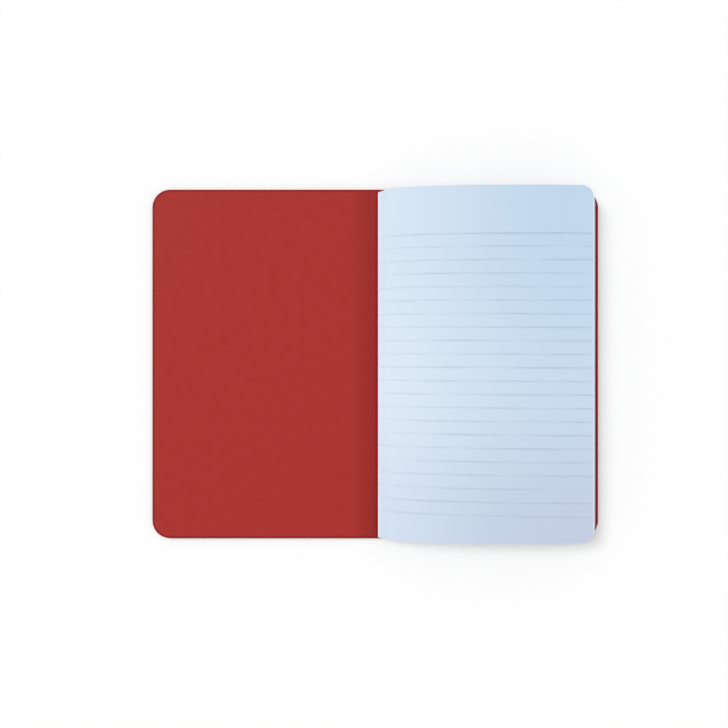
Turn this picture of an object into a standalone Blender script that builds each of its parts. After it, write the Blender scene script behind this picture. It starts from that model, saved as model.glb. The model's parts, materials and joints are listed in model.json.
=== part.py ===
"""Pocket notebook lying open at its first page.

A card cover with two scored folds, twelve folded sheets nested in each other, and a thread sewn through the
fold. Each sheet is a folded back and two leaves. All the leaves lie on the back cover, sprung a little apart,
and each one turns about the sewn fold. X runs from the spine to the fore edge of the back cover, Y runs up
the page, and the outside of the cover lies on Z = 0.
"""

import math

import bmesh
import bpy
from mathutils import Vector

MM = 0.001

# Cover
COVER_WIDTH = 89.5 * MM
COVER_HEIGHT = 140.0 * MM
COVER_CORNER = 7.2 * MM
CARD = 0.4 * MM
SPINE_WIDTH = 5.0 * MM
REAR_SCORE_X = 0.7 * MM
SCORE_GAP = 0.1 * MM

# Paper
SHEET_COUNT = 12
PAPER = 0.1 * MM
PAGE_HEIGHT = 138.5 * MM
PAGE_CORNER = 4.0 * MM
TOP_LEAF_EDGE_X = 84.1 * MM
LAST_LEAF_EDGE_X = 88.0 * MM
LEAF_AIR = 0.225 * MM
LEAF_SEAT = 0.3 * MM

# Sewn fold
FOLD_BORE = 0.4 * MM
FOLD_AIR = 0.02 * MM
FOLD_SEAT = 0.25 * MM
FOLD_CORNER_WEAR = 0.8 * MM
SPINE_CLEARANCE = 0.4 * MM
LEAF_CLEARANCE = 0.2 * MM

# Thread
THREAD = 0.35 * MM
STITCH = 20.0 * MM
OUTER_STITCHES = 3
THREAD_TAIL = 7.0 * MM
THREAD_BEND = 0.3 * MM
HOLE_CLEARANCE = 0.1 * MM

# How the leaves leave the fold and spring up
TOP_LEAF_ANGLE = math.radians(64)
LAST_LEAF_ANGLE = math.radians(-40)
RISE_LENGTH = 20.0 * MM
ROOT_PULL = 0.6 * MM
KNEE_PULL = 8.0 * MM
KNEE_DROP = 0.7 * MM
KNEE_SLOPE = 0.09
RUN_LENGTH = 70.0 * MM
TOP_LEAF_FALL = 0.1 * MM

# Smoothness
RISE_STATIONS = 12
CORNER_STEPS = 5
FOLD_STEPS = 12
CURVE_SAMPLES = 200

LEAF_COUNT = 2 * SHEET_COUNT
FOLD_PITCH = PAPER + FOLD_AIR
FOLD_START = TOP_LEAF_ANGLE
FOLD_END = LAST_LEAF_ANGLE + 2 * math.pi
LEAF_PITCH = PAPER + LEAF_AIR
FOLD_RADIUS = FOLD_BORE + SHEET_COUNT * FOLD_PITCH - FOLD_AIR
LEAF_ROOT = FOLD_RADIUS + LEAF_CLEARANCE
HUB_X = REAR_SCORE_X + SPINE_CLEARANCE + FOLD_RADIUS
HUB_Z = CARD + FOLD_SEAT + FOLD_RADIUS
HUB = Vector((HUB_X, 0.0, HUB_Z))
FRONT_SCORE_X = REAR_SCORE_X - SPINE_WIDTH
HOLE_RADIUS = THREAD / 2 + HOLE_CLEARANCE

RED_CARD = (0.395, 0.040, 0.033)
WHITE_PAPER = (0.86, 0.88, 0.90)
WHITE_THREAD = (0.80, 0.78, 0.74)


def clear_scene():
    for item in list(bpy.data.objects):
        bpy.data.objects.remove(item, do_unlink=True)


def new_collection(name):
    collection = bpy.data.collections.new(name)
    bpy.context.scene.collection.children.link(collection)
    return collection


def add_object(name, data, collection, origin):
    item = bpy.data.objects.new(name, data)
    item.location = origin
    collection.objects.link(item)
    return item


def add_material(item, colour, roughness):
    material = bpy.data.materials.new(item.name)
    material.use_nodes = True
    shader = material.node_tree.nodes["Principled BSDF"]
    shader.inputs["Base Color"].default_value = (*colour, 1.0)
    shader.inputs["Roughness"].default_value = roughness
    shader.inputs["Metallic"].default_value = 0.0
    item.data.materials.append(material)


def mesh_from(bm, name):
    mesh = bpy.data.meshes.new(name)
    bm.to_mesh(mesh)
    bm.free()
    return mesh


def blend(first, second, share):
    return first + (second - first) * share


def rounded_box(low, high, radius, rounded_sides, origin):
    """A box from low to high. The upright edges on the rounded sides, -1 for low X and 1 for high X, are arcs."""
    bm = bmesh.new()
    bmesh.ops.create_cube(bm, size=1.0)
    centre = (Vector(low) + Vector(high)) / 2
    size = Vector(high) - Vector(low)
    for vert in bm.verts:
        vert.co = Vector(c * s for c, s in zip(vert.co, size)) + centre - origin
    middle_x = centre.x - origin.x
    upright = []
    for edge in bm.edges:
        a, b = (vert.co for vert in edge.verts)
        side = 1 if a.x > middle_x else -1
        if abs(a.z - b.z) > size.z / 2 and side in rounded_sides:
            upright.append(edge)
    bmesh.ops.bevel(bm, geom=upright, offset=radius, segments=CORNER_STEPS, profile=0.5, affect="EDGES")
    return bm


def card_panel(name, x_low, x_high, rounded_sides, hinge, collection):
    """One flat panel of the cover, between its edge or score on the left and on the right."""
    half = COVER_HEIGHT / 2
    bm = rounded_box((x_low, -half, 0.0), (x_high, half, CARD), COVER_CORNER, rounded_sides, hinge)
    panel = add_object(name, mesh_from(bm, name), collection, hinge)
    add_material(panel, RED_CARD, 0.62)
    return panel


def sheet_strip(name, profile, half_heights, collection):
    """A strip of paper bent along a profile of (x, z) points, as high at each point as half_heights says."""
    bm = bmesh.new()
    last = len(profile) - 1
    bmesh.ops.create_grid(bm, x_segments=last, y_segments=1, size=1.0)
    for vert in bm.verts:
        column = round((vert.co.x + 1.0) / 2.0 * last)
        side = 1.0 if vert.co.y > 0 else -1.0
        x, z = profile[column]
        vert.co = (x - HUB_X, side * half_heights[column], z - HUB_Z)
    strip = add_object(name, mesh_from(bm, name), collection, HUB)
    add_material(strip, WHITE_PAPER, 0.75)
    solid = strip.modifiers.new("Paper", "SOLIDIFY")
    solid.thickness = PAPER
    solid.offset = 0.0
    solid.use_even_offset = True
    strip.data.shade_smooth()
    strip.data.set_sharp_from_angle(angle=math.radians(40))
    return strip


def on_circle(radius, angle):
    return Vector((HUB_X + radius * math.cos(angle), HUB_Z + radius * math.sin(angle)))


def bezier(points, share):
    """A point on the cubic curve through four control points."""
    while len(points) > 1:
        points = [a.lerp(b, share) for a, b in zip(points, points[1:])]
    return points[0]


def leaf_height(index):
    """Height of a leaf's middle at the fore edge. Leaf 0 is the top one."""
    return CARD + LEAF_SEAT + PAPER / 2 + (LEAF_COUNT - 1 - index) * LEAF_PITCH


def leaf_curve(index):
    """Fine points along a leaf: a steep rise out of the fold, then a long low crown to the fore edge."""
    depth = index / (LEAF_COUNT - 1)
    lift = 1.0 - depth
    angle = blend(TOP_LEAF_ANGLE, LAST_LEAF_ANGLE, depth)
    slope = Vector((1.0, KNEE_SLOPE * lift)).normalized()
    height = leaf_height(index)
    root = on_circle(LEAF_ROOT, angle)
    knee = Vector((HUB_X + RISE_LENGTH, height - KNEE_DROP * lift))
    tip = Vector((knee.x + RUN_LENGTH, height))
    fall = Vector((-1.0, 4.0 * TOP_LEAF_FALL / RUN_LENGTH * lift)).normalized()
    out = Vector((math.cos(angle), math.sin(angle)))
    rise = [root, root + out * ROOT_PULL, knee - slope * KNEE_PULL, knee]
    run = [knee, knee + slope * RUN_LENGTH / 3, tip + fall * RUN_LENGTH / 3, tip]
    shares = [step / CURVE_SAMPLES for step in range(CURVE_SAMPLES + 1)]
    return [bezier(rise, s) for s in shares] + [bezier(run, s) for s in shares[1:]]


def leaf_length(index, curve):
    """The distance along a leaf's curve to its fore edge, which was cut straight and slants once opened."""
    edge_x = blend(TOP_LEAF_EDGE_X, LAST_LEAF_EDGE_X, index / (LEAF_COUNT - 1))
    walked = 0.0
    for start, end in zip(curve, curve[1:]):
        step = (end - start).length
        if end.x > edge_x:
            return walked + step * (edge_x - start.x) / (end.x - start.x)
        walked += step
    return walked


def leaf_stations(length):
    """Distances along a leaf where it has a bend line: close together at the fold and round the corner."""
    straight = length - PAGE_CORNER
    rise = [straight * (step / RISE_STATIONS) ** 2 for step in range(RISE_STATIONS + 1)]
    turn = [step / CORNER_STEPS * math.pi / 2 for step in range(1, CORNER_STEPS + 1)]
    return rise + [straight + PAGE_CORNER * math.sin(angle) for angle in turn]


def half_height(distance, length):
    """Half the page height at a distance along the leaf, with the fore-edge corners rounded."""
    over = max(0.0, distance - (length - PAGE_CORNER))
    return PAGE_HEIGHT / 2 - PAGE_CORNER + math.sqrt(max(0.0, PAGE_CORNER**2 - over**2))


def points_at(curve, distances):
    """The points that lie at the given distances along a fine curve."""
    found = []
    walked = 0.0
    step = 0
    for distance in distances:
        length = (curve[step + 1] - curve[step]).length
        while walked + length < distance and step < len(curve) - 2:
            walked += length
            step += 1
            length = (curve[step + 1] - curve[step]).length
        found.append(curve[step].lerp(curve[step + 1], (distance - walked) / length))
    return found


def stitch_holes():
    """Where the thread passes through the fold, along Y."""
    count = 2 * OUTER_STITCHES
    return [(place - (count - 1) / 2) * STITCH for place in range(count)]


def make_cover(collection):
    front_hinge = Vector((FRONT_SCORE_X, 0.0, CARD))
    rear_hinge = Vector((REAR_SCORE_X, 0.0, CARD))
    half_gap = SCORE_GAP / 2
    card_panel("front_cover", -COVER_WIDTH, FRONT_SCORE_X - half_gap, (-1,), front_hinge, collection)
    card_panel("cover_spine", FRONT_SCORE_X + half_gap, REAR_SCORE_X - half_gap, (), rear_hinge, collection)
    return card_panel("back_cover", REAR_SCORE_X + half_gap, COVER_WIDTH, (1,), rear_hinge, collection)


def hide_cutter(cutter):
    cutter.hide_render = True
    cutter.display_type = "WIRE"


def cut(item, cutter):
    boolean = item.modifiers.new(cutter.name, "BOOLEAN")
    boolean.operation = "DIFFERENCE"
    boolean.solver = "EXACT"
    boolean.object = cutter


def cut_thread_slots(back_cover, cutters):
    """Each outer stitch lies in a slot of the card, as wide as the thread with its clearance."""
    holes = stitch_holes()
    for number, (start, end) in enumerate(zip(holes[0::2], holes[1::2]), 1):
        low = (HUB_X - HOLE_RADIUS, start - HOLE_RADIUS, -CARD)
        high = (HUB_X + HOLE_RADIUS, end + HOLE_RADIUS, 2 * CARD)
        bm = rounded_box(low, high, HOLE_RADIUS * 0.9, (-1, 1), HUB)
        slot = add_object(f"thread_slot_{number}", mesh_from(bm, "thread_slot"), cutters, HUB)
        hide_cutter(slot)
        cut(back_cover, slot)


def make_needle_holes(cutters):
    """Upright pins through the lower side of the nested folds, one for each pass of the thread."""
    bm = bmesh.new()
    for place in stitch_holes():
        made = bmesh.ops.create_cone(
            bm, cap_ends=True, segments=8, radius1=HOLE_RADIUS, radius2=HOLE_RADIUS, depth=HUB_Z
        )
        bmesh.ops.translate(bm, verts=made["verts"], vec=(0.0, place, -HUB_Z / 2))
    pins = add_object("needle_holes", mesh_from(bm, "needle_holes"), cutters, HUB)
    hide_cutter(pins)
    return pins


def fold_half_height(angle):
    """Half the height of a fold, whose corners are worn away a little on the spine side."""
    return PAGE_HEIGHT / 2 - FOLD_CORNER_WEAR * max(0.0, -math.cos(angle))


def make_folds(collection, needle_holes):
    """The folded backs of the sheets, the first sheet outermost."""
    angles = [blend(FOLD_START, FOLD_END, step / FOLD_STEPS) for step in range(FOLD_STEPS + 1)]
    for number in range(1, SHEET_COUNT + 1):
        radius = FOLD_RADIUS - PAPER / 2 - (number - 1) * FOLD_PITCH
        profile = [on_circle(radius, angle) for angle in angles]
        heights = [fold_half_height(angle) for angle in angles]
        fold = sheet_strip(f"sheet_fold_{number:02d}", profile, heights, collection)
        cut(fold, needle_holes)


def make_leaves(collection):
    """The leaves from the top one down. Leaf 1 and the last leaf belong to the outermost sheet."""
    for index in range(LEAF_COUNT):
        curve = leaf_curve(index)
        length = leaf_length(index, curve)
        stations = leaf_stations(length)
        heights = [half_height(distance, length) for distance in stations]
        profile = points_at(curve, stations)
        sheet_strip(f"leaf_{index + 1:02d}", profile, heights, collection)


def thread_corners():
    """Corners of the running stitch as (y, z): inside the fold, out through a hole, along the card and back in."""
    inside = HUB_Z
    outside = CARD / 2
    holes = stitch_holes()
    corners = [(holes[0] - THREAD_TAIL, inside)]
    for start, end in zip(holes[0::2], holes[1::2]):
        corners += [(start, inside), (start, outside), (end, outside), (end, inside)]
    return corners + [(holes[-1] + THREAD_TAIL, inside)]


def rounded_path(corners, radius):
    """The corners with an arc of three points at each turn."""
    points = [Vector(corners[0])]
    for before, corner, after in zip(corners, corners[1:], corners[2:]):
        here = Vector(corner)
        back = (Vector(before) - here).normalized() * radius
        ahead = (Vector(after) - here).normalized() * radius
        middle = (back + ahead) * (1.0 - math.sqrt(0.5))
        points += [here + back, here + middle, here + ahead]
    return points + [Vector(corners[-1])]


def make_thread(collection):
    points = rounded_path(thread_corners(), THREAD_BEND)
    curve = bpy.data.curves.new("binding_thread", "CURVE")
    curve.dimensions = "3D"
    curve.bevel_depth = THREAD / 2
    curve.bevel_resolution = 2
    curve.use_fill_caps = True
    spline = curve.splines.new("POLY")
    spline.points.add(len(points) - 1)
    for place, (y, z) in zip(spline.points, points):
        place.co = (0.0, y, z - HUB_Z, 1.0)
    thread = add_object("binding_thread", curve, collection, HUB)
    add_material(thread, WHITE_THREAD, 0.85)


def main():
    clear_scene()
    notebook = new_collection("notebook")
    cutters = new_collection("notebook_cutters")
    back_cover = make_cover(notebook)
    cut_thread_slots(back_cover, cutters)
    make_folds(notebook, make_needle_holes(cutters))
    make_leaves(notebook)
    make_thread(notebook)


main()
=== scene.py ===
"""Finish of the pocket notebook: red card cover, ruled paper leaves and twisted sewing thread."""
import json
import math

import bmesh
import bpy
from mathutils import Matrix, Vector, noise


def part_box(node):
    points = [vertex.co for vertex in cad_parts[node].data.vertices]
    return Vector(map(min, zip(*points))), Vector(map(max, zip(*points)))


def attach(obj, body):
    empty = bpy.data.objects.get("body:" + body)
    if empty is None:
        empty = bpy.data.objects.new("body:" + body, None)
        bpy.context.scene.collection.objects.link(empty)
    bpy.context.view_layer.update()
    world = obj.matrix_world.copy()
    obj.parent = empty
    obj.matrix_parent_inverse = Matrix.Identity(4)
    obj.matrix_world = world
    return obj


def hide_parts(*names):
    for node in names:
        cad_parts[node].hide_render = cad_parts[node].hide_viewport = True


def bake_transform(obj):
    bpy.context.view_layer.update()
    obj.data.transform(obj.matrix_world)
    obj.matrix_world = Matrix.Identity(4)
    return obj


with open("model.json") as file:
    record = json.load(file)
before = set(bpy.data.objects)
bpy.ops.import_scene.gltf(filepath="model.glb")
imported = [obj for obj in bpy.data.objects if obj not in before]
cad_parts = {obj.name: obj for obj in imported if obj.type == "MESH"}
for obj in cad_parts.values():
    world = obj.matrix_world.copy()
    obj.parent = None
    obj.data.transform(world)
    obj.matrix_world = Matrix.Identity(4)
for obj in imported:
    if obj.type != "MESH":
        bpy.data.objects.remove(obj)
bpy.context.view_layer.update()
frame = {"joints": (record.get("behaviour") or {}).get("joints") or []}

MM = 0.001

# Cover
COVER_CORNER = 7.2 * MM
CARD_EDGE_ROUND = 0.07 * MM
CARD_EDGE_SEGMENTS = 2
CARD_EDGE_ANGLE = math.radians(50)
REAR_TRIM = 0.11 * MM
SEAM_X = -1.8 * MM
SCORE_REACH = 0.6 * MM
SCORE_WIDTH = 0.45 * MM
SCORE_DEPTH = 0.02 * MM
SCORE_STEPS = 10
PANEL_STEP = 6.0 * MM
CORNER_STEPS = 14
SMOOTH_ANGLE = math.radians(35)

# Paper
PAPER = 0.1 * MM
PAGE_HEIGHT = 138.5 * MM
PAGE_WIDTH = 85.0 * MM
PAGE_CORNER = 4.8 * MM
SHEET_COUNT = 12
LEAF_COUNT = 2 * SHEET_COUNT
FOLD_BORE = 0.4 * MM
FOLD_AIR = 0.03 * MM
ROOT_CLEARANCE = 0.03 * MM
TUCK = 0.005 * MM
COCKLE_HEIGHT = 0.07 * MM
COCKLE_LENGTH = 30.0 * MM
COCKLE_START = 0.3 * PAGE_WIDTH
COCKLE_SEED_STEP = 0.37
TRIM_SCATTER = 0.15 * MM
TRIM_SEED_STEP = 3.7
TRIM_SEED_ROW = 0.4
FORE_TRIM = 0.05 * MM
HEAD_TRIM = 0.2 * MM
HEAD_WEAR = 1.15 * MM
FOOT_WEAR = 0.75 * MM
WEAR_START = 1.1 * MM
WEAR_REACH = 2.7 * MM

# How the leaves leave the fold and spring up
TOP_LEAF_ANGLE = math.radians(64)
LAST_LEAF_ANGLE = math.radians(-40)
TUCK_ANGLE = math.radians(97)
BEND_POINTS = 40
BEND_LENGTH = 0.9 * MM
BEND_PULL = 0.45 * MM
RISE_LENGTH = 20.0 * MM
ROOT_PULL = 0.6 * MM
KNEE_PULL = 8.0 * MM
KNEE_DROP = 0.7 * MM
KNEE_SLOPE = 0.09
RUN_LENGTH = 70.0 * MM
TOP_LEAF_Z = 8.225 * MM
LAST_LEAF_Z = 0.75 * MM
TOP_LEAF_FALL = 0.1 * MM
TOP_LEAF_END_SLOPE = 4.0 * TOP_LEAF_FALL / RUN_LENGTH
CURVE_SAMPLES = 200
LEAF_STEPS = 46
LEAF_STEP_GROWTH = 1.8
LEAF_ROWS = 14
FOLD_STEPS = 60
FOLD_ROWS = 2

# Ruling, measured up the page from its middle; it fans out by a share for each metre from the pivot
LINE_COUNT = 22
LINE_PITCH = 5.2 * MM
LAST_LINE_Y = -58.6 * MM
LINE_WIDTH = 0.64 * MM
LINE_BLUR = 0.32 * MM
LINE_DRIFT = 0.12 * MM
HEAD_RULE_DROP = 0.27 * MM
RULING_DRAW = 0.013
RULING_REACH = 6.0 * MM
RULING_FAN = 0.166
RULING_TILT = 0.0055
RULING_PIVOT_X = 48.0 * MM

# Thread
STITCH = 20.0 * MM
OUTER_STITCHES = 3
THREAD_TAIL = 7.0 * MM
THREAD_BEND = 0.3 * MM
THREAD_BEND_STEPS = 6
THREAD_Z = 0.2 * MM
SLOT_WIDTH = 0.55 * MM
SLOT_ROUND = 0.45 * SLOT_WIDTH
SLOT_SEGMENTS = 6
PLY_COUNT = 2
PLY_RADIUS = 0.085 * MM
PLY_RESOLUTION = 2
PLY_OFFSET = 0.08 * MM
PLY_TWIST = 1.3 * MM
PLY_POINT_STEP = 0.13 * MM

# Camera: pixels of the photograph, metres, and the sensor in millimetres
PHOTO_SIZE = 728
SCALE_PX = 2.491 / MM
CAMERA_HEIGHT = 200.0 * MM
CAMERA_X = -4.54 * MM
CLIP_START = 1.0 * MM
SENSOR = 36.0

# Light and floor
WORLD_LIGHT = 0.7
LAMP_LIGHT = 0.295
LAMP_SPREAD = math.radians(26.0)
LAMP_FROM = (-0.68, 0.42, 0.8)
FLOOR_REACH = 4.0
FLOOR_DROP = 0.9 * MM

# Colours
WHITE = (1.0, 1.0, 1.0)
RED = (0.392, 0.0270, 0.0212)
# Dark red for the card's fibres and for its painted shade and shadow
RED_FIBRE_AND_SHADE = (0.250, 0.006, 0.009)
# Painted shade on the card towards the spine
RED_SPINE_SHADE = (0.25, 0.012, 0.010)
RED_PALE = (0.408, 0.0298, 0.0240)
# Paper colours, with painted light at the fold and painted shade towards the fore edge and the foot
PAPER_LIT_AT_FOLD = (0.660, 0.762, 0.875)
PAPER_SHADED_AT_EDGE = (0.527, 0.682, 0.848)
PAPER_SHADED_AT_FOOT = (0.545, 0.600, 0.752)
# Pale colour for the painted highlights at the fore edge and the fold, and for the cut at head and foot
PAPER_HIGHLIGHT_AND_CUT = (0.86, 0.90, 0.96)
LINE_INK = (0.30, 0.38, 0.50)
THREAD_WHITE = (0.78, 0.76, 0.71)
THREAD_DARK = (0.52, 0.49, 0.43)
THREAD_DARK_SHARE = 0.5

# Surfaces: roughness and specular level
CARD_SURFACE = (0.66, 0.18)
PAPER_SURFACE = (0.85, 0.12)
THREAD_SURFACE = (0.8, 0.2)
FLOOR_SURFACE = (1.0, 0.0)

# Relief: height and strength
CARD_TOOTH = (0.02 * MM, 0.35)
PAPER_TOOTH = (0.008 * MM, 0.3)
THREAD_TOOTH = (0.02 * MM, 0.6)

# Noise: waves to the metre, detail and stretch
CARD_CLOUDS = (260.0, 3.0, (1.0, 1.0, 1.0))
CARD_FIBRES = (3200.0, 2.0, (1.0, 0.35, 1.0))
LINE_WANDER = (55.0, 1.0, (1.0, 1.0, 1.0))
LINE_PATCHES = (130.0, 3.0, (0.35, 2.5, 1.0))
PAPER_FIBRES = (5200.0, 3.0, (0.4, 1.0, 1.0))
THREAD_HAIRS = (9000.0, 2.0, (1.0, 0.25, 1.0))

# Card finish: how far in from the edge, or out from a score, a painted shade starts and is full, and its
# share
RIM_SHADE_START = 1.15 * MM
RIM_SHADE_FULL = 0.75 * MM
RIM_SHADE_SHARE = 0.62
BLOCK_SHADOW_START = 3.0 * MM
BLOCK_SHADOW_FULL = 1.3 * MM
BLOCK_SHADOW_SHARE = 0.85
SCORE_SHADOW_START = 1.0 * MM
SCORE_SHADOW_FULL = 0.2 * MM
SCORE_SHADOW_SHARE = 0.8
SPINE_SHADE_REACH = 8.5 * MM
SPINE_SHADE_SHARE = 0.42
CLOUD_RANGE = (0.3, 0.75)
FIBRE_RANGE = (0.55, 0.8)
FIBRE_SHARE = 0.16

# Paper finish: the same for the painted highlight along the fore edge, the painted highlight on the folded
# back, and the pale cut at head and foot
FORE_HIGHLIGHT_START = 0.5 * MM
FORE_HIGHLIGHT_FULL = 0.1 * MM
FOLD_HIGHLIGHT_START = 1.7 * MM
FOLD_HIGHLIGHT_FULL = 0.8 * MM
CUT_START = 0.06 * MM
CUT_FULL = 0.02 * MM
HIGHLIGHT_AND_CUT_SHARE = 0.7

# Painted light and shade on the paper across and down the page, its painted band of light below the middle,
# and its fibres
SHADE_REACH = 0.88 * PAGE_WIDTH
FOOT_SHADE = 0.25
FOOT_SHADE_GAIN = 0.6
BRIGHTEST_DROP = 0.08 * PAGE_HEIGHT
BRIGHT_REACH = 0.45 * PAGE_HEIGHT
BRIGHT_SHARE = 0.11
PAPER_FIBRE_SHARE = 0.05

# Strength of the ruled lines
LINE_LEAST = 0.055
LINE_GAIN = 0.27
LINE_PATCH_RANGE = (0.3, 0.7)
HEAD_RULE_GAIN = 0.1
FORE_EDGE_GAIN = 0.18
LINE_AT_FOLD = 0.55
LINE_FADE_REACH = 22.0 * MM

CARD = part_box("back_cover")[1].z
SLOT_CUTTER_HEIGHT = 4 * CARD
COVER_HALF_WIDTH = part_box("back_cover")[1].x
COVER_HALF_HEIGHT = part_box("back_cover")[1].y
HINGES = {joint["name"]: Vector(joint["pos_m"]) for joint in frame["joints"]}
HUB = HINGES["leaf_01_turn"]
REAR_SCORE_X = HINGES["spine_fold"].x
FRONT_SCORE_X = HINGES["front_cover_fold"].x
FOLD_PITCH = PAPER + FOLD_AIR
FOLD_RADIUS = FOLD_BORE + SHEET_COUNT * FOLD_PITCH - FOLD_AIR
FOLD_BACK_X = HUB.x - FOLD_RADIUS
LEAF_ROOT = FOLD_RADIUS + ROOT_CLEARANCE
ROLLED_LENGTH = FOLD_RADIUS * (math.pi - TUCK_ANGLE)


def blend_value(first, second, share):
    return first + (second - first) * share


def smooth_step(share):
    share = min(1.0, max(0.0, share))
    return share * share * (3.0 - 2.0 * share)


class Shader:
    """Small helper that builds one Principled material out of nodes."""

    def __init__(self, name, roughness, specular):
        self.material = bpy.data.materials.new(name)
        self.material.use_nodes = True
        self.tree = self.material.node_tree
        self.principled = self.tree.nodes["Principled BSDF"]
        self.principled.inputs["Roughness"].default_value = roughness
        self.principled.inputs["Specular IOR Level"].default_value = specular

    def node(self, kind, **settings):
        made = self.tree.nodes.new(kind)
        for key, value in settings.items():
            setattr(made, key, value)
        return made

    def join(self, output, socket):
        self.tree.links.new(output, socket)

    def put(self, socket, value):
        """Sets a socket to a number, or joins it to another node's output."""
        if isinstance(value, bpy.types.NodeSocket):
            self.join(value, socket)
        else:
            socket.default_value = value

    def math(self, operation, first, second=0.0, third=0.0):
        made = self.node("ShaderNodeMath", operation=operation)
        for socket, value in zip(made.inputs, (first, second, third)):
            self.put(socket, value)
        return made.outputs[0]

    def ramp(self, value, low, high):
        """0 at low and 1 at high, with soft ends."""
        made = self.node("ShaderNodeMapRange", interpolation_type="SMOOTHSTEP")
        self.put(made.inputs["Value"], value)
        self.put(made.inputs["From Min"], low)
        self.put(made.inputs["From Max"], high)
        return made.outputs["Result"]

    def mix(self, share, first, second):
        made = self.node("ShaderNodeMix", data_type="RGBA")
        self.put(made.inputs[0], share)
        for socket, colour in zip(made.inputs[6:8], (first, second)):
            self.put(socket, (*colour, 1.0) if isinstance(colour, tuple) else colour)
        return made.outputs[2]

    def tint(self, colour, mask, share, towards):
        """Turns a colour towards another where the mask is 1, by the share given."""
        return self.mix(self.math("MULTIPLY", mask, share), colour, towards)

    def noise(self, vector, scale, detail, stretch):
        mapping = self.node("ShaderNodeMapping")
        mapping.inputs["Scale"].default_value = [scale * factor for factor in stretch]
        self.join(vector, mapping.inputs["Vector"])
        made = self.node("ShaderNodeTexNoise")
        made.inputs["Scale"].default_value = 1.0
        made.inputs["Detail"].default_value = detail
        self.join(mapping.outputs["Vector"], made.inputs["Vector"])
        return made.outputs["Fac"]

    def bump(self, height, distance, strength):
        made = self.node("ShaderNodeBump")
        made.inputs["Distance"].default_value = distance
        made.inputs["Strength"].default_value = strength
        self.join(height, made.inputs["Height"])
        return made.outputs["Normal"]

    def finish(self, colour, normal):
        self.put(self.principled.inputs["Base Color"], colour)
        self.join(normal, self.principled.inputs["Normal"])
        return self.material


def map_parts(shader, name):
    """A UV map, which holds metres, and its two parts."""
    uv = shader.node("ShaderNodeUVMap", uv_map=name)
    parts = shader.node("ShaderNodeSeparateXYZ")
    shader.join(uv.outputs["UV"], parts.inputs[0])
    return uv.outputs["UV"], parts.outputs[0], parts.outputs[1]


def cover_reach(shader, x, y):
    """How far a point lies past the rectangle that is a corner's radius inside the cover's edges."""
    over_x = shader.math("SUBTRACT", shader.math("ABSOLUTE", x), COVER_HALF_WIDTH - COVER_CORNER)
    over_y = shader.math("SUBTRACT", shader.math("ABSOLUTE", y), COVER_HALF_HEIGHT - COVER_CORNER)
    out_x = shader.math("MAXIMUM", over_x, 0.0)
    out_y = shader.math("MAXIMUM", over_y, 0.0)
    squares = shader.math("ADD", shader.math("POWER", out_x, 2.0), shader.math("POWER", out_y, 2.0))
    inside = shader.math("MINIMUM", shader.math("MAXIMUM", over_x, over_y), 0.0)
    return shader.math("ADD", shader.math("SQRT", squares), inside)


def distance_from(shader, value, place):
    return shader.math("ABSOLUTE", shader.math("SUBTRACT", value, place))


def card_material():
    """Dyed card: faint cloudiness, short fibres and a fine tooth, with painted shade along the edge,
    towards the spine and beside the rear score, and a painted shadow of the page block near the rear card's
    fore edge.
    """
    shader = Shader("red_card", *CARD_SURFACE)
    uv, x, y = map_parts(shader, "flat")
    # Painted shade: the card is darker along its edge all round
    rim_shade = shader.ramp(cover_reach(shader, x, y), COVER_CORNER - RIM_SHADE_START, COVER_CORNER - RIM_SHADE_FULL)
    # Painted shadow of the page block on the rear card, darker towards its fore edge
    block_shadow = shader.ramp(x, COVER_HALF_WIDTH - BLOCK_SHADOW_START, COVER_HALF_WIDTH - BLOCK_SHADOW_FULL)
    # Painted shade: the card is darker towards the middle of the spine
    spine_middle = (FRONT_SCORE_X + REAR_SCORE_X) / 2
    spine_shade = shader.ramp(distance_from(shader, x, spine_middle), SPINE_SHADE_REACH, 0.0)
    # Painted shadow: a dark line beside the rear score, where the page block meets the card
    score_shadow = shader.ramp(distance_from(shader, x, REAR_SCORE_X), SCORE_SHADOW_START, SCORE_SHADOW_FULL)
    clouds = shader.noise(uv, *CARD_CLOUDS)
    fibres = shader.noise(uv, *CARD_FIBRES)
    colour = shader.mix(shader.ramp(clouds, *CLOUD_RANGE), RED, RED_PALE)
    colour = shader.tint(colour, shader.ramp(fibres, *FIBRE_RANGE), FIBRE_SHARE, RED_FIBRE_AND_SHADE)
    colour = shader.tint(colour, spine_shade, SPINE_SHADE_SHARE, RED_SPINE_SHADE)
    colour = shader.tint(colour, score_shadow, SCORE_SHADOW_SHARE, RED_FIBRE_AND_SHADE)
    colour = shader.tint(colour, rim_shade, RIM_SHADE_SHARE, RED_FIBRE_AND_SHADE)
    colour = shader.tint(colour, block_shadow, BLOCK_SHADOW_SHARE, RED_FIBRE_AND_SHADE)
    return shader.finish(colour, shader.bump(fibres, *CARD_TOOTH))


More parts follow.
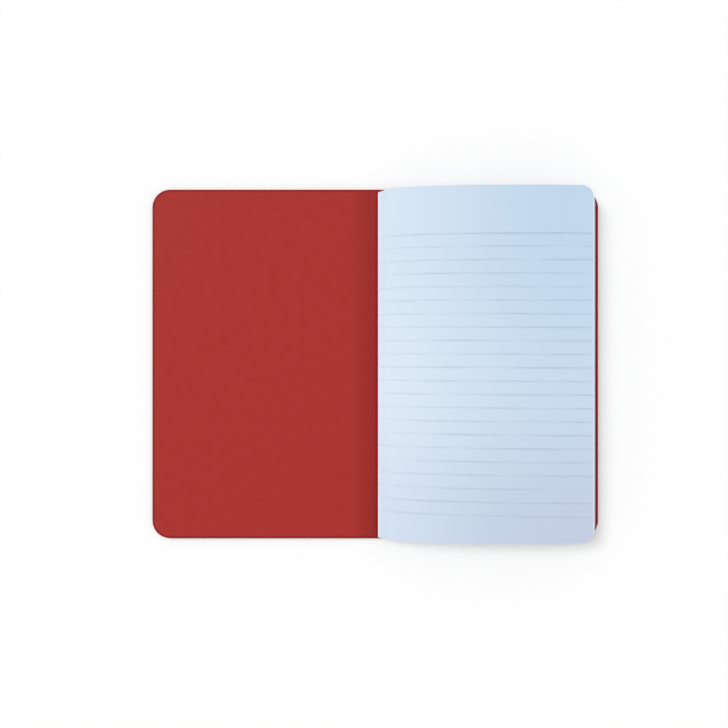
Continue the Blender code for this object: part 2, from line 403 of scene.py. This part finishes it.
def line_ink(shader, uv, x, y, across):
    """How much ink lies on the page: lines that wander and break, faint at the fold, heavy at the head."""
    wander = shader.math("SUBTRACT", shader.noise(uv, *LINE_WANDER), 0.5)
    drifted = shader.math("ADD", y, shader.math("MULTIPLY", wander, 2 * LINE_DRIFT))
    # Counted in lines up the page, so that the last line is 0 and the head rule LINE_COUNT - 1
    place = shader.math("DIVIDE", shader.math("SUBTRACT", drifted, LAST_LINE_Y), LINE_PITCH)
    head_rule = shader.math("GREATER_THAN", place, LINE_COUNT - 1.5)
    place = shader.math("MULTIPLY_ADD", head_rule, HEAD_RULE_DROP / LINE_PITCH, place)
    nearest = shader.math("ROUND", place)
    away = shader.math("MULTIPLY", distance_from(shader, place, nearest), LINE_PITCH)
    stroke = shader.ramp(away, LINE_WIDTH / 2 + LINE_BLUR, LINE_WIDTH / 2 - LINE_BLUR)
    above = shader.math("GREATER_THAN", nearest, -0.5)
    below = shader.math("LESS_THAN", nearest, LINE_COUNT - 0.5)
    stroke = shader.math("MULTIPLY", stroke, shader.math("MULTIPLY", above, below))
    patches = shader.ramp(shader.noise(uv, *LINE_PATCHES), *LINE_PATCH_RANGE)
    weight = shader.math("MULTIPLY_ADD", patches, LINE_GAIN, LINE_LEAST)
    weight = shader.math("MULTIPLY_ADD", head_rule, HEAD_RULE_GAIN, weight)
    weight = shader.math("MULTIPLY", weight, shader.math("MULTIPLY_ADD", across, FORE_EDGE_GAIN, 1.0))
    clear_of_fold = shader.ramp(x, 0.0, LINE_FADE_REACH)
    fade = shader.math("MULTIPLY_ADD", clear_of_fold, 1.0 - LINE_AT_FOLD, LINE_AT_FOLD)
    return shader.math("MULTIPLY", stroke, shader.math("MULTIPLY", weight, fade))


def highlights_and_pale_cuts(shader, x):
    """Where the paper is painted with a highlight along the fore edge and on the folded back, and where its
    cut at head and foot is pale.
    """
    _, from_fore_edge, from_head_or_foot = map_parts(shader, "trim")
    fore_edge_highlight = shader.ramp(from_fore_edge, FORE_HIGHLIGHT_START, FORE_HIGHLIGHT_FULL)
    fold_highlight = shader.ramp(x, FOLD_HIGHLIGHT_START, FOLD_HIGHLIGHT_FULL)
    cut = shader.ramp(from_head_or_foot, CUT_START, CUT_FULL)
    return shader.math("MAXIMUM", shader.math("MAXIMUM", fore_edge_highlight, fold_highlight), cut)


def paper_material():
    """Ruled paper: pale blue-white, painted lighter at the fold and darker and cooler towards the fore edge
    and the foot, with a painted band of light below the middle; the same on both faces.
    """
    shader = Shader("ruled_paper", *PAPER_SURFACE)
    uv, x, y = map_parts(shader, "flat")
    # Painted light and shade: lighter at the fold, darker towards the fore edge and towards the foot
    across = shader.ramp(x, 0.0, SHADE_REACH)
    down = shader.ramp(y, 0.0, -PAGE_HEIGHT / 2)
    foot = shader.math("MULTIPLY", down, shader.math("MULTIPLY_ADD", across, FOOT_SHADE_GAIN, FOOT_SHADE))
    # Painted light: a lighter band across the page below its middle
    painted_light_band = shader.ramp(distance_from(shader, y, -BRIGHTEST_DROP), BRIGHT_REACH, 0.0)
    fibres = shader.noise(uv, *PAPER_FIBRES)
    colour = shader.mix(across, PAPER_LIT_AT_FOLD, PAPER_SHADED_AT_EDGE)
    colour = shader.mix(foot, colour, PAPER_SHADED_AT_FOOT)
    colour = shader.tint(colour, fibres, PAPER_FIBRE_SHARE, WHITE)
    colour = shader.tint(colour, painted_light_band, BRIGHT_SHARE, WHITE)
    colour = shader.mix(line_ink(shader, uv, x, y, across), colour, LINE_INK)
    # Painted highlights along the fore edge and the fold, and the pale cut at head and foot
    colour = shader.tint(colour, highlights_and_pale_cuts(shader, x), HIGHLIGHT_AND_CUT_SHARE, PAPER_HIGHLIGHT_AND_CUT)
    return shader.finish(colour, shader.bump(fibres, *PAPER_TOOTH))


def thread_material():
    """Waxed cotton: fine hairs wound along each ply."""
    shader = Shader("waxed_thread", *THREAD_SURFACE)
    place = shader.node("ShaderNodeTexCoord").outputs["Object"]
    hairs = shader.noise(place, *THREAD_HAIRS)
    colour = shader.tint(THREAD_WHITE, hairs, THREAD_DARK_SHARE, THREAD_DARK)
    return shader.finish(colour, shader.bump(hairs, *THREAD_TOOTH))


def mesh_object(name, mesh, material):
    item = bpy.data.objects.new(name, mesh)
    bpy.context.scene.collection.objects.link(item)
    mesh.materials.append(material)
    return item


def apply_modifiers(item):
    """Makes the modifiers' result the object's own mesh."""
    graph = bpy.context.evaluated_depsgraph_get()
    mesh = bpy.data.meshes.new_from_object(item.evaluated_get(graph))
    item.modifiers.clear()
    item.data = mesh
    item.data.shade_smooth()
    item.data.set_sharp_from_angle(angle=SMOOTH_ANGLE)


def sheet_mesh(name, columns, rows, place):
    """A grid whose point at a column and a row is place(column, row), with two UV maps in metres.

    place gives the point in space, the flat position across and up the sheet, and how far it is from the
    fore edge and from the nearer of head and foot.
    """
    bm = bmesh.new()
    layer = bm.loops.layers.uv.new("flat")
    trim_layer = bm.loops.layers.uv.new("trim")
    bmesh.ops.create_grid(bm, x_segments=columns, y_segments=rows, size=1.0)
    flat = {}
    trim = {}
    for vert in bm.verts:
        column = round((vert.co.x + 1.0) / 2.0 * columns)
        row = (vert.co.y + 1.0) / 2.0
        vert.co, flat[vert], trim[vert] = place(column, row)
    for face in bm.faces:
        for loop in face.loops:
            loop[layer].uv = flat[loop.vert]
            loop[trim_layer].uv = trim[loop.vert]
    mesh = bpy.data.meshes.new(name)
    bm.to_mesh(mesh)
    bm.free()
    return mesh


def thicken(item, thickness):
    solid = item.modifiers.new("Thickness", "SOLIDIFY")
    solid.thickness = thickness
    solid.offset = 0.0
    solid.use_even_offset = True
    apply_modifiers(item)


def round_card_edges(card):
    """Takes the sharp corner off the card all round, but not where its two halves meet."""
    bm = bmesh.new()
    bm.from_mesh(card.data)
    edges = []
    for edge in bm.edges:
        on_seam = all(abs(vert.co.x - SEAM_X) < CARD_EDGE_ROUND / 2 for vert in edge.verts)
        if not on_seam and edge.calc_face_angle(0.0) > CARD_EDGE_ANGLE:
            edges.append(edge)
    bmesh.ops.bevel(bm, geom=edges, offset=CARD_EDGE_ROUND, segments=CARD_EDGE_SEGMENTS, profile=0.5,
                    affect="EDGES")
    bm.to_mesh(card.data)
    bm.free()


def corner_drop(over, radius):
    """How far a rounded corner pulls the edge in, over being the distance past where the corner starts."""
    over = min(radius, max(0.0, over))
    return radius - math.sqrt(radius * radius - over * over)


def corner_turns():
    """The angles at which a rounded corner has its points, after its first."""
    return [step / CORNER_STEPS * math.pi / 2 for step in range(1, CORNER_STEPS + 1)]


def card_columns(inner, outer, score):
    """Places along one panel from its inner end to its edge: close at the score and round the corner."""
    side = 1.0 if outer > inner else -1.0
    span = side * SCORE_REACH * 2.0
    close = [score + span * (step / SCORE_STEPS - 1.0) for step in range(2 * SCORE_STEPS + 1)]
    places = [inner] + [place for place in close if side * (place - inner) > 0]
    straight = outer - side * COVER_CORNER
    count = round(abs(straight - places[-1]) / PANEL_STEP)
    start = places[-1]
    places += [blend_value(start, straight, step / count) for step in range(1, count + 1)]
    return places + [straight + side * COVER_CORNER * math.sin(turn) for turn in corner_turns()]


def card_piece(name, inner, outer, score, material):
    """One half of the card cover, from the middle of the spine to the fore edge, with its score pressed."""
    places = card_columns(inner, outer, score)
    side = 1.0 if outer > inner else -1.0
    straight = outer - side * COVER_CORNER

    def place(column, row):
        x = places[column]
        half = COVER_HALF_HEIGHT - corner_drop(side * (x - straight), COVER_CORNER)
        y = (row * 2.0 - 1.0) * half
        press = SCORE_DEPTH * math.exp(-(((x - score) / SCORE_WIDTH) ** 2))
        return Vector((x, y, CARD / 2 + press)), (x, y), (abs(outer - x), half - abs(y))

    mesh = sheet_mesh(name, len(places) - 1, 1, place)
    piece = mesh_object(name, mesh, material)
    thicken(piece, CARD)
    round_card_edges(piece)
    return piece


def stitch_holes():
    count = 2 * OUTER_STITCHES
    return [(place - (count - 1) / 2) * STITCH for place in range(count)]


def slot_cutter(start, end):
    """A block with round ends that stands through the card from one stitch hole to the next."""
    bm = bmesh.new()
    bmesh.ops.create_cube(bm, size=1.0)
    for vert in bm.verts:
        y = vert.co.y * (end - start + SLOT_WIDTH) + (start + end) / 2
        vert.co = (HUB.x + vert.co.x * SLOT_WIDTH, y, vert.co.z * SLOT_CUTTER_HEIGHT)
    upright = [edge for edge in bm.edges if abs(edge.verts[0].co.z - edge.verts[1].co.z) > CARD]
    bmesh.ops.bevel(bm, geom=upright, offset=SLOT_ROUND, segments=SLOT_SEGMENTS, profile=0.5,
                    affect="EDGES")
    mesh = bpy.data.meshes.new("slot")
    bm.to_mesh(mesh)
    bm.free()
    cutter = bpy.data.objects.new("slot", mesh)
    bpy.context.scene.collection.objects.link(cutter)
    return cutter


def cut_thread_slots(card):
    """Opens the card where each outer stitch lies in it."""
    holes = stitch_holes()
    for start, end in zip(holes[0::2], holes[1::2]):
        cutter = slot_cutter(start, end)
        boolean = card.modifiers.new("Slot", "BOOLEAN")
        boolean.operation = "DIFFERENCE"
        boolean.solver = "EXACT"
        boolean.object = cutter
        apply_modifiers(card)
        bpy.data.objects.remove(cutter)


def make_cover():
    material = card_material()
    front = card_piece("front_card", SEAM_X, -COVER_HALF_WIDTH, FRONT_SCORE_X, material)
    rear = card_piece("rear_card", SEAM_X, COVER_HALF_WIDTH - REAR_TRIM, REAR_SCORE_X, material)
    cut_thread_slots(rear)
    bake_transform(front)
    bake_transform(rear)
    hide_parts("front_cover", "cover_spine")
    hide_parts("back_cover")


def on_circle(radius, angle):
    return Vector((HUB.x + radius * math.cos(angle), HUB.z + radius * math.sin(angle)))


def bezier(points, share):
    while len(points) > 1:
        points = [a.lerp(b, share) for a, b in zip(points, points[1:])]
    return points[0]


def leaf_curve(index):
    """Fine points along a leaf: a steep rise out of the fold, then a long low crown to the fore edge."""
    depth = index / (LEAF_COUNT - 1)
    lift = 1.0 - depth
    angle = blend_value(TOP_LEAF_ANGLE, LAST_LEAF_ANGLE, depth)
    slope = Vector((1.0, KNEE_SLOPE * lift)).normalized()
    height = blend_value(TOP_LEAF_Z, LAST_LEAF_Z, depth)
    out = Vector((math.cos(angle), math.sin(angle)))
    root = on_circle(LEAF_ROOT, angle)
    bend = root + out * ROOT_PULL
    knee = Vector((HUB.x + RISE_LENGTH, height - KNEE_DROP * lift))
    tip = Vector((knee.x + RUN_LENGTH, height))
    fall = Vector((-1.0, TOP_LEAF_END_SLOPE * lift)).normalized()
    rise = [root, bend, knee - slope * KNEE_PULL, knee]
    run = [knee, knee + slope * RUN_LENGTH / 3, tip + fall * RUN_LENGTH / 3, tip]
    shares = [step / CURVE_SAMPLES for step in range(CURVE_SAMPLES + 1)]
    points = [bezier(rise, s) for s in shares] + [bezier(run, s) for s in shares[1:]]
    return bent_from_fold(points) if index == 0 else points


def bent_from_fold(points):
    """The top leaf comes out of the top of the outermost fold, as one sheet with it, and bends up."""
    start = on_circle(FOLD_RADIUS - PAPER / 2 - TUCK, TUCK_ANGLE)
    along = Vector((math.sin(TUCK_ANGLE), -math.cos(TUCK_ANGLE)))
    first = next(place for place, point in enumerate(points) if (point - points[0]).length > BEND_LENGTH)
    rising = (points[first + 1] - points[first]).normalized()
    hollow = [start, start + along * BEND_PULL, points[first] - rising * BEND_PULL, points[first]]
    return [bezier(hollow, step / BEND_POINTS) for step in range(BEND_POINTS)] + points[first:]


def half_heights(x):
    """How far a sheet reaches up and down the page at x; it is worn where it is folded."""
    worn = 1.0 - smooth_step((x - FOLD_BACK_X - WEAR_START) / WEAR_REACH)
    return PAGE_HEIGHT / 2 - HEAD_TRIM - HEAD_WEAR * worn, PAGE_HEIGHT / 2 - FOOT_WEAR * worn


def ruling_y(x, y):
    """Where the ruling takes a point to lie: it is printed a little askew and draws in towards the fold."""
    near_fold = 1.0 - smooth_step((x - FOLD_BACK_X) / RULING_REACH)
    before_pivot = RULING_PIVOT_X - x
    return y * (1.0 + RULING_DRAW * near_fold + RULING_FAN * before_pivot) - RULING_TILT * before_pivot


def leaf_length(curve, edge_x):
    """The length along a leaf's curve to where it reaches the fore edge."""
    walked = 0.0
    for start, end in zip(curve, curve[1:]):
        step = (end - start).length
        if end.x > edge_x:
            return walked + step * (edge_x - start.x) / (end.x - start.x)
        walked += step
    return walked


def points_at(curve, distances):
    """The points that lie at rising distances along a curve."""
    found = []
    walked = 0.0
    step = 0
    for distance in distances:
        length = (curve[step + 1] - curve[step]).length
        while walked + length < distance and step < len(curve) - 2:
            walked += length
            step += 1
            length = (curve[step + 1] - curve[step]).length
        found.append(curve[step].lerp(curve[step + 1], (distance - walked) / length))
    return found


def leaf_distances(length):
    """Distances along a leaf for its columns: close at the fold and round the corner."""
    straight = length - PAGE_CORNER
    rise = [straight * (step / LEAF_STEPS) ** LEAF_STEP_GROWTH for step in range(LEAF_STEPS + 1)]
    return rise + [straight + PAGE_CORNER * math.sin(turn) for turn in corner_turns()]


def make_leaf(index, material):
    """One ruled leaf. A slow wave keeps each from being a perfect sheet."""
    name = f"leaf_{index + 1:02d}"
    scatter = noise.noise(Vector((index * TRIM_SEED_STEP, TRIM_SEED_ROW, 0.0))) * TRIM_SCATTER
    curve = leaf_curve(index)
    length = leaf_length(curve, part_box(name)[1].x + FORE_TRIM + scatter)
    distances = leaf_distances(length)
    profile = points_at(curve, distances)

    def place(column, row):
        s = distances[column]
        drop = corner_drop(s - (length - PAGE_CORNER), PAGE_CORNER)
        head, foot = half_heights(profile[column].x)
        low, high = drop - foot, head - drop
        y = blend_value(low, high, row)
        free = smooth_step(s / COCKLE_START)
        seed = Vector((s / COCKLE_LENGTH, y / COCKLE_LENGTH, index * COCKLE_SEED_STEP))
        wave = noise.noise(seed) * COCKLE_HEIGHT * free
        x = profile[column].x
        edges = (length - s, min(y - low, high - y))
        return Vector((x, y, profile[column].y + wave)), (s + ROLLED_LENGTH, ruling_y(x, y)), edges

    mesh = sheet_mesh(name + "_page", len(distances) - 1, LEAF_ROWS, place)
    page = mesh_object(name + "_page", mesh, material)
    thicken(page, PAPER)
    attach(page, name + "_body")
    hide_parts(name)


def make_fold(number, material):
    """The folded back of one sheet, the first outermost. Its corners are worn on the spine side."""
    radius = FOLD_RADIUS - PAPER / 2 - (number - 1) * FOLD_PITCH
    end_angle = LAST_LEAF_ANGLE + 2 * math.pi

    def place(column, row):
        angle = blend_value(TOP_LEAF_ANGLE, end_angle, column / FOLD_STEPS)
        point = on_circle(radius, angle)
        head, foot = half_heights(point.x)
        y = blend_value(-foot, head, row)
        around = radius * abs(math.pi - angle)
        edges = (PAGE_WIDTH, min(y + foot, head - y))
        return Vector((point.x, y, point.y)), (around, ruling_y(point.x, y)), edges

    name = f"sheet_fold_{number:02d}"
    mesh = sheet_mesh(name + "_paper", FOLD_STEPS, FOLD_ROWS, place)
    fold = mesh_object(name + "_paper", mesh, material)
    thicken(fold, PAPER)
    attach(fold, "back_assembly")
    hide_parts(name)


def thread_path():
    """Points close together along the running stitch, rounded at each hole, as (y, z)."""
    holes = stitch_holes()
    corners = [Vector((holes[0] - THREAD_TAIL, HUB.z))]
    for start, end in zip(holes[0::2], holes[1::2]):
        corners += [Vector((start, HUB.z)), Vector((start, THREAD_Z))]
        corners += [Vector((end, THREAD_Z)), Vector((end, HUB.z))]
    corners.append(Vector((holes[-1] + THREAD_TAIL, HUB.z)))
    points = [corners[0]]
    for before, here, after in zip(corners, corners[1:], corners[2:]):
        back = here + (before - here).normalized() * THREAD_BEND
        ahead = here + (after - here).normalized() * THREAD_BEND
        shares = [step / THREAD_BEND_STEPS for step in range(THREAD_BEND_STEPS + 1)]
        points += [bezier([back, here, ahead], share) for share in shares]
    points.append(corners[-1])
    length = sum((b - a).length for a, b in zip(points, points[1:]))
    count = round(length / PLY_POINT_STEP)
    return points_at(points, [length * step / count for step in range(count + 1)])


def ply_points(path, ply):
    """The points of one ply, wound round the thread's path."""
    found = []
    for number, here in enumerate(path):
        ahead = path[min(number + 1, len(path) - 1)] - path[max(number - 1, 0)]
        along = ahead.normalized()
        turn = 2 * math.pi * number * PLY_POINT_STEP / PLY_TWIST + ply * 2 * math.pi / PLY_COUNT
        sideways = Vector((-along.y, along.x)) * math.sin(turn) * PLY_OFFSET
        x = HUB.x + math.cos(turn) * PLY_OFFSET
        found.append((x, here.x + sideways.x, here.y + sideways.y, 1.0))
    return found


def make_thread():
    """Plies twisted round each other along the stitches."""
    path = thread_path()
    curve = bpy.data.curves.new("sewing_thread", "CURVE")
    curve.dimensions = "3D"
    curve.bevel_depth = PLY_RADIUS
    curve.bevel_resolution = PLY_RESOLUTION
    curve.use_fill_caps = True
    for ply in range(PLY_COUNT):
        spline = curve.splines.new("POLY")
        spline.points.add(len(path) - 1)
        for point, place in zip(spline.points, ply_points(path, ply)):
            point.co = place
    thread = bpy.data.objects.new("sewing_thread", curve)
    bpy.context.scene.collection.objects.link(thread)
    curve.materials.append(thread_material())
    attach(thread, "back_assembly")
    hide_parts("binding_thread")


def make_paper():
    material = paper_material()
    for number in range(1, SHEET_COUNT + 1):
        make_fold(number, material)
    for index in range(LEAF_COUNT):
        make_leaf(index, material)


def make_floor():
    bm = bmesh.new()
    bmesh.ops.create_grid(bm, x_segments=1, y_segments=1, size=FLOOR_REACH)
    mesh = bpy.data.meshes.new("floor")
    bm.to_mesh(mesh)
    bm.free()
    floor = bpy.data.objects.new("floor", mesh)
    floor.location.z = -FLOOR_DROP
    bpy.context.scene.collection.objects.link(floor)
    shader = Shader("white_floor", *FLOOR_SURFACE)
    shader.put(shader.principled.inputs["Base Color"], (*WHITE, 1.0))
    mesh.materials.append(shader.material)


def make_surround():
    """An even white surround that shows as white."""
    world = bpy.data.worlds.new("surround")
    bpy.context.scene.world = world
    world.use_nodes = True
    nodes = world.node_tree.nodes
    background = nodes["Background"]
    background.inputs["Color"].default_value = (*WHITE, 1.0)
    rays = nodes.new("ShaderNodeLightPath")
    strength = nodes.new("ShaderNodeMapRange")
    strength.inputs["To Min"].default_value = WORLD_LIGHT
    strength.inputs["To Max"].default_value = 1.0
    world.node_tree.links.new(rays.outputs["Is Camera Ray"], strength.inputs["Value"])
    world.node_tree.links.new(strength.outputs["Result"], background.inputs["Strength"])


def make_lamp():
    """A soft lamp from up to the left."""
    direction = Vector(LAMP_FROM).normalized()
    lamp = bpy.data.lights.new("soft_lamp", "SUN")
    lamp.energy = LAMP_LIGHT * math.pi / direction.z
    lamp.angle = LAMP_SPREAD
    item = bpy.data.objects.new("soft_lamp", lamp)
    item.rotation_euler = direction.to_track_quat("Z", "Y").to_euler()
    bpy.context.scene.collection.objects.link(item)


def make_camera():
    data = bpy.data.cameras.new("camera")
    data.sensor_width = SENSOR
    data.lens = SCALE_PX * CAMERA_HEIGHT / PHOTO_SIZE * SENSOR
    data.clip_start = CLIP_START
    camera = bpy.data.objects.new("camera", data)
    camera.location = (CAMERA_X, 0.0, CARD + CAMERA_HEIGHT)
    bpy.context.scene.collection.objects.link(camera)
    bpy.context.scene.camera = camera
    bpy.context.scene.view_settings.view_transform = "Standard"


make_cover()
make_paper()
make_thread()
make_floor()
make_surround()
make_lamp()
make_camera()
